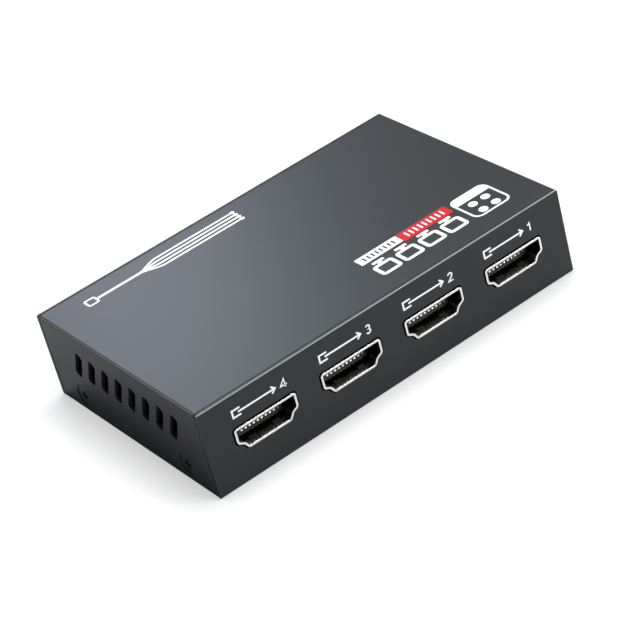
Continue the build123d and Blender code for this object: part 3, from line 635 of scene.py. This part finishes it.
# %% Board, chips and small parts
board_green = finish("board_green", (0.006, 0.075, 0.026), (0.010, 0.105, 0.038),
                     (0.30, 0.26, 0.12), 0.36)
dress(board_green, "circuit_board")
chip_black = finish("chip_black", (0.016, 0.016, 0.018), (0.024, 0.024, 0.026), (0.05, 0.05, 0.05),
                    0.55)
dress(chip_black, "splitter_chip", "controller_chip", "voltage_regulators", "small_resistors")
pad_grey = finish("pad_grey", (0.26, 0.28, 0.31), (0.32, 0.34, 0.37), (0.4, 0.42, 0.45), 0.8)
dress(pad_grey, "thermal_pad")
ferrite = finish("ferrite", (0.05, 0.05, 0.053), (0.08, 0.08, 0.084), (0.16, 0.16, 0.165), 0.6)
dress(ferrite, "power_inductor", "surge_protectors")
ceramic = finish("ceramic_tan", (0.42, 0.30, 0.19), (0.52, 0.39, 0.26), (0.66, 0.56, 0.44), 0.45)
dress(ceramic, "small_capacitors")

# %% [markdown]
# ### Indicator lights
# The lights behind are small domes of dyed clear resin. Part of their colour comes from light that
# passes through, so most of the finish is transmission, and the rest keeps the dye visible from
# outside.

# %% Indicator lights
LENS_CLEAR = 0.7
red_lens = finish("red_lens", (0.55, 0.02, 0.012), (0.66, 0.035, 0.02), (0.8, 0.2, 0.15), 0.12,
                  Transmission_Weight=LENS_CLEAR)
dress(red_lens, "power_led")
green_lens = finish("green_lens", (0.05, 0.42, 0.06), (0.08, 0.55, 0.09), (0.3, 0.75, 0.3), 0.12,
                    Transmission_Weight=LENS_CLEAR)
dress(green_lens, "output_leds")
print("finishes", len(bpy.data.materials))

# %% [markdown]
# ## Prints
# The marks on the case are screen-printed: a film of ink about a hundredth of a millimetre thick. A
# mask in the paint's material would do, but a film of its own keeps its sharp outline in any export.
# Each mark is a surface of two parameters, worked out in the plane of its face: a filled shape runs
# between two edges, and a line is a path with a width. The numerals 1 to 4 are paths of arcs and
# straight runs. The other marks are plain signs: arrows that point out, a line that forks in four,
# ruled strips, and screens.

# %% Flat shapes
MM = 0.001
TOP_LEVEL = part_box("top_cover")[1].z
FRONT_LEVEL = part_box("base_tray")[0].y
INK = 0.008 * MM
INK_SUNK = 0.004 * MM
LAYER, LAYERS = 0.05, 5


def on_top(flat, raised=1):
    """Points of the plane, in mm, on the cover's outer face, raised by so many films of ink."""
    level = np.full(flat.shape[:-1], TOP_LEVEL + raised * INK)
    return np.stack((flat[..., 0] * MM, flat[..., 1] * MM, level), axis=-1)


def on_front(flat, raised=1):
    """Points of the plane, in mm, on the front panel's outer face: across, then up."""
    level = np.full(flat.shape[:-1], FRONT_LEVEL - raised * INK)
    return np.stack((flat[..., 0] * MM, level, flat[..., 1] * MM), axis=-1)


def filled(centre, width, height, radius=0.0, square_foot=False, steps=7):
    """Rounded rectangle as a grid: at each place across, the two edges lie half the height from the
    middle, less what a corner's circle takes away. A square foot keeps its lower corners."""
    arc = np.linspace(0, math.pi / 2, steps)
    left = -width / 2 + radius * (1 - np.cos(arc))
    along = np.concatenate((left, -left[::-1]))
    drop = radius * (1 - np.sin(arc))
    edge = height / 2 - np.concatenate((drop, drop[::-1]))
    foot = np.full_like(edge, height / 2) if square_foot else edge
    low = np.stack((centre[0] + along, centre[1] - foot), axis=-1)
    high = np.stack((centre[0] + along, centre[1] + edge), axis=-1)
    return np.stack((low, high), axis=1)


def line(path, width, closed=False):
    """A path in the plane with a width: each point is moved half the width to both sides, along the
    mean of its two neighbouring runs' normals, lengthened so that the runs keep their width."""
    path = np.asarray(path, float)
    ahead = np.roll(path, -1, axis=0) - path
    if not closed:
        ahead[-1] = path[-1] - path[-2]
    ahead /= np.linalg.norm(ahead, axis=1, keepdims=True)
    behind = np.roll(ahead, 1, axis=0)
    if not closed:
        behind[0] = ahead[0]
    normal = np.stack((ahead[:, 1] + behind[:, 1], -ahead[:, 0] - behind[:, 0]), axis=-1)
    normal /= np.linalg.norm(normal, axis=1, keepdims=True)
    keep = normal[:, 0] * ahead[:, 1] - normal[:, 1] * ahead[:, 0]
    shift = normal * (width / 2 / np.clip(keep, 0.5, None))[:, None]
    if closed:
        path, shift = np.vstack((path, path[:1])), np.vstack((shift, shift[:1]))
    return np.stack((path + shift, path - shift), axis=1)


def disc(centre, radius, steps=25):
    """A dot: the two edges are the upper and lower half of a circle."""
    turn = np.linspace(math.pi, 0, steps)
    lower = np.stack((np.cos(turn), -np.sin(turn)), axis=-1)
    upper = np.stack((np.cos(turn), np.sin(turn)), axis=-1)
    return np.asarray(centre) + radius * np.stack((lower, upper), axis=1)


def ring_path(centre, width, height, radius, steps=7):
    """Outline of a rounded rectangle: four quarter circles joined by straight runs."""
    turn = np.linspace(0, math.pi / 2, steps)
    quarter = radius * np.stack((np.cos(turn), np.sin(turn)), axis=-1)
    corners = []
    for k, (sx, sy) in enumerate(((1, 1), (-1, 1), (-1, -1), (1, -1))):
        c, s = math.cos(k * math.pi / 2), math.sin(k * math.pi / 2)
        spun = quarter @ np.array(((c, s), (-s, c)))
        hub = (centre[0] + sx * (width / 2 - radius), centre[1] + sy * (height / 2 - radius))
        corners.append(spun + hub)
    return np.vstack(corners)


# %% [markdown]
# All grids of one print make one mesh, and Solidify gives it a real thickness, which is sunk a little
# into the paint so that no gap shows. Neighbours differ in height by a share of a film: where two of
# them cross, one lies clearly over the other.

# %% Film of ink


def link_and_ride(piece):
    """Puts a finished piece in the scene, on the only body that this object has."""
    bpy.context.scene.collection.objects.link(piece)
    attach(piece, BODY)
    return piece


def film(name, grids, face, raised, material):
    """One piece of ink from many flat grids, with its faces turned outwards and a real thickness. Grids
    that follow each other differ by a share of a film in height, so that none lies in another."""
    points, faces, start = [], [], 0
    for k, grid in enumerate(grids):
        rows, columns = grid.shape[:2]
        index = start + np.arange(rows * columns).reshape(rows, columns)
        cells = np.stack((index[:-1, :-1], index[1:, :-1], index[1:, 1:], index[:-1, 1:]), axis=-1)
        points.append(face(grid, raised - LAYER * (k % LAYERS)).reshape(-1, 3))
        faces.append(cells.reshape(-1, 4))
        start += rows * columns
    mesh = bpy.data.meshes.new(name)
    mesh.from_pydata(np.vstack(points).tolist(), [], np.vstack(faces).tolist())
    mesh.update()
    mesh.materials.append(material)
    piece = bpy.data.objects.new(name, mesh)
    wall = piece.modifiers.new("ink", "SOLIDIFY")
    wall.thickness = raised * INK + INK_SUNK
    wall.offset = -1
    return link_and_ride(piece)


# %% [markdown]
# The numerals are drawn as a brush draws them: a middle line of arcs and straight runs, with a width.
# The inks are opaque, and have neither bevelled normals nor worn edges, because they are thinner than
# any bevel.

# %% Numerals and inks


def bow(centre, radius, start, end, steps=13):
    """Points of a circle's arc between two angles in degrees."""
    turn = np.radians(np.linspace(start, end, steps))
    return np.asarray(centre) + radius * np.stack((np.cos(turn), np.sin(turn)), axis=-1)


def numeral_path(number):
    """Middle line of a numeral from 1 to 4, as runs and arcs about the middle of its height."""
    if number == 1:
        return np.array([(-0.4, 0.42), (0.08, 0.8), (0.08, -0.8)])
    if number == 2:
        return np.vstack((bow((0, 0.36), 0.44, 165, -35), [(-0.5, -0.78), (0.56, -0.78)]))
    if number == 3:
        upper, lower = bow((0, 0.4), 0.4, 155, -90), bow((0, -0.38), 0.42, 90, -155)
        return np.vstack((upper, lower[1:]))
    return np.array([(0.72, -0.42), (-0.62, -0.42), (0.3, 0.8), (0.3, -0.84)])


white_ink = finish("white_ink", (0.80, 0.81, 0.82), (0.88, 0.89, 0.90), (0.88, 0.89, 0.90), 0.5,
                   roundness=0.0, edge_radius=0.0)
red_ink = finish("red_ink", (0.46, 0.0, 0.003), (0.54, 0.001, 0.005), (0.54, 0.001, 0.005), 0.45,
                 roundness=0.0, edge_radius=0.0, Specular_IOR_Level=0.2)
print("inks", white_ink.name, red_ink.name)

# %% [markdown]
# ### Labels over the outputs
# Each output has a numeral and, left of it, the usual sign for a way out: an open frame with an arrow.
# They stand about 2 mm high, well above the socket.

# %% Output labels
LABEL_LEVEL = 15.95
LABEL_HEIGHT = 2.0
STROKE = 0.4
FRAME_LEFT, FRAME_RIGHT = -6.7, -4.8
ARROW_START, ARROW_TIP = -5.4, 3.6
ARROW_HEAD = 0.8
HEAD_OVERSHOOT = 0.1
NUMERAL_OFFSET = 5.65
NUMERAL_STROKE = 0.34
NUMERAL_SCALE = 1.15
outputs = {name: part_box(f"{name}_shell") for name in sockets if name != "input"}
label_grids = []
for name, (low, high) in outputs.items():
    x = (low.x + high.x) / 2 / MM
    half = (LABEL_HEIGHT - STROKE) / 2
    bracket = [(FRAME_RIGHT, half), (FRAME_LEFT, half), (FRAME_LEFT, -half), (FRAME_RIGHT, -half)]
    shaft = [(ARROW_START, 0), (ARROW_TIP, 0)]
    barb = ARROW_TIP - ARROW_HEAD
    head = [(barb, ARROW_HEAD), (ARROW_TIP + HEAD_OVERSHOOT, 0), (barb, -ARROW_HEAD)]
    for path in (bracket, shaft, head):
        label_grids.append(line(np.asarray(path) + (x, LABEL_LEVEL), STROKE))
film("output_signs", label_grids, on_front, 1, white_ink)
for name, (low, high) in outputs.items():
    spot = ((low.x + high.x) / 2 / MM + NUMERAL_OFFSET, LABEL_LEVEL)
    path = NUMERAL_SCALE * numeral_path(int(name[-1])) + spot
    film(f"{name}_numeral", [line(path, NUMERAL_STROKE)], on_front, 1, white_ink)
print("labels on", len(outputs), "outputs")

# %% [markdown]
# ### Marks on the cover
# Near the back edge lies a long line that forks in four: one picture in, four out. It starts at a small
# frame, and each branch leaves the stem on a smooth step, three squares less two cubes, and ends in a
# dot.

# %% Fork on the cover
FORK_START, FORK_SPLIT, FORK_SPREAD, FORK_END = -37.7, -24.7, -18.7, 2.2
FORK_LEVEL, FORK_HEIGHT = 23.25, 3.92
FORK_STROKE, BRANCH_STROKE = 0.75, 0.5625
FORK_OVERLAP = 1.2
BOX_SIZE, BOX_CORNER, BOX_STROKE = 2.4, 0.4, 0.5
BRANCH_END_GAP = 1.0
DOT_RADIUS = 0.55
stem = [(FORK_START + BOX_SIZE, FORK_LEVEL), (FORK_SPLIT + FORK_OVERLAP, FORK_LEVEL)]
box_middle = (FORK_START + BOX_SIZE / 2, FORK_LEVEL)
fork = [
    line(stem, FORK_STROKE),
    line(ring_path(box_middle, BOX_SIZE, BOX_SIZE, BOX_CORNER), BOX_STROKE, closed=True),
]
ease = np.linspace(0, 1, 17)
for level in FORK_LEVEL + FORK_HEIGHT * np.linspace(-0.5, 0.5, 4):
    rise = FORK_LEVEL + (level - FORK_LEVEL) * ease * ease * (3 - 2 * ease)
    path = np.stack((FORK_SPLIT + (FORK_SPREAD - FORK_SPLIT) * ease, rise), axis=-1)
    fork.append(line(np.vstack((path, [(FORK_END - BRANCH_END_GAP, level)])), BRANCH_STROKE))
    fork.append(disc((FORK_END - DOT_RADIUS, level), DOT_RADIUS))
fork_mark = film("fork_mark", fork, on_top, 1, white_ink)
print("fork of", len(fork), "shapes with vertices", len(fork_mark.data.vertices))

# %% [markdown]
# By the outputs lie a frame with a band and four dots, a white and a red strip with ruled ticks, and
# four bold signs of a screen. Ticks on the white strip have the paint's own colour, as if they were
# left out of the print.

# %% Badge, strips and screens on the cover
BADGE_X = 34.75
BADGE_FRAME = {"centre": (BADGE_X, -18.95), "width": 9.2, "height": 9.6, "radius": 1.6}
BADGE_STROKE = 0.5
BADGE_BAND = {"centre": (BADGE_X, -15.6), "width": 8.7, "height": 2.4, "radius": 1.35}
BADGE_DOTS_Y, BADGE_DOT_OFFSET, BADGE_DOT_RADIUS = -20.4, 1.7, 1.05
WHITE_STRIP = {"centre": (10.45, -15.25), "width": 10.9, "height": 3.0, "radius": 0.25}
RED_STRIP = {"centre": (22.5, -15.45), "width": 13.0, "height": 3.5, "radius": 0.25}
TICK_WIDTH = 0.45
SCREENS_LEFT, SCREEN_PITCH = 5.0, 5.925
SCREEN_STROKE = 0.85


def ruled(strip, places, height):
    """Ticks in the middle of a strip: it is cut in even places, and the first and last stay empty."""
    left = strip["centre"][0] - strip["width"] / 2
    along = left + strip["width"] * (np.arange(1, places - 1) + 0.5) / places
    return [filled((x, strip["centre"][1]), TICK_WIDTH, height) for x in along]


white_marks = [
    line(ring_path(**BADGE_FRAME), BADGE_STROKE, closed=True),
    filled(**BADGE_BAND, square_foot=True),
    filled(**WHITE_STRIP),
]
for dx in (-BADGE_DOT_OFFSET, BADGE_DOT_OFFSET):
    for dy in (-BADGE_DOT_OFFSET, BADGE_DOT_OFFSET):
        white_marks.append(disc((BADGE_X + dx, BADGE_DOTS_Y + dy), BADGE_DOT_RADIUS))
for k in range(4):
    x = SCREENS_LEFT + SCREEN_PITCH * (k + 0.5)
    screen = ring_path((x, -21.35), width=4.3, height=3.6, radius=0.5)
    white_marks.append(line(screen, SCREEN_STROKE, closed=True))
    white_marks.append(filled((x, -18.85), width=1.1, height=1.2))
    white_marks.append(filled((x, -18.1), width=3.0, height=0.8, radius=0.2))
film("white_marks", white_marks, on_top, 1, white_ink)
film("red_strip", [filled(**RED_STRIP)], on_top, 1, red_ink)
film("strip_ticks", ruled(RED_STRIP, 11, 1.9), on_top, 2, white_ink)
film("dark_ticks", ruled(WHITE_STRIP, 10, 1.5), on_top, 2, case_paint)
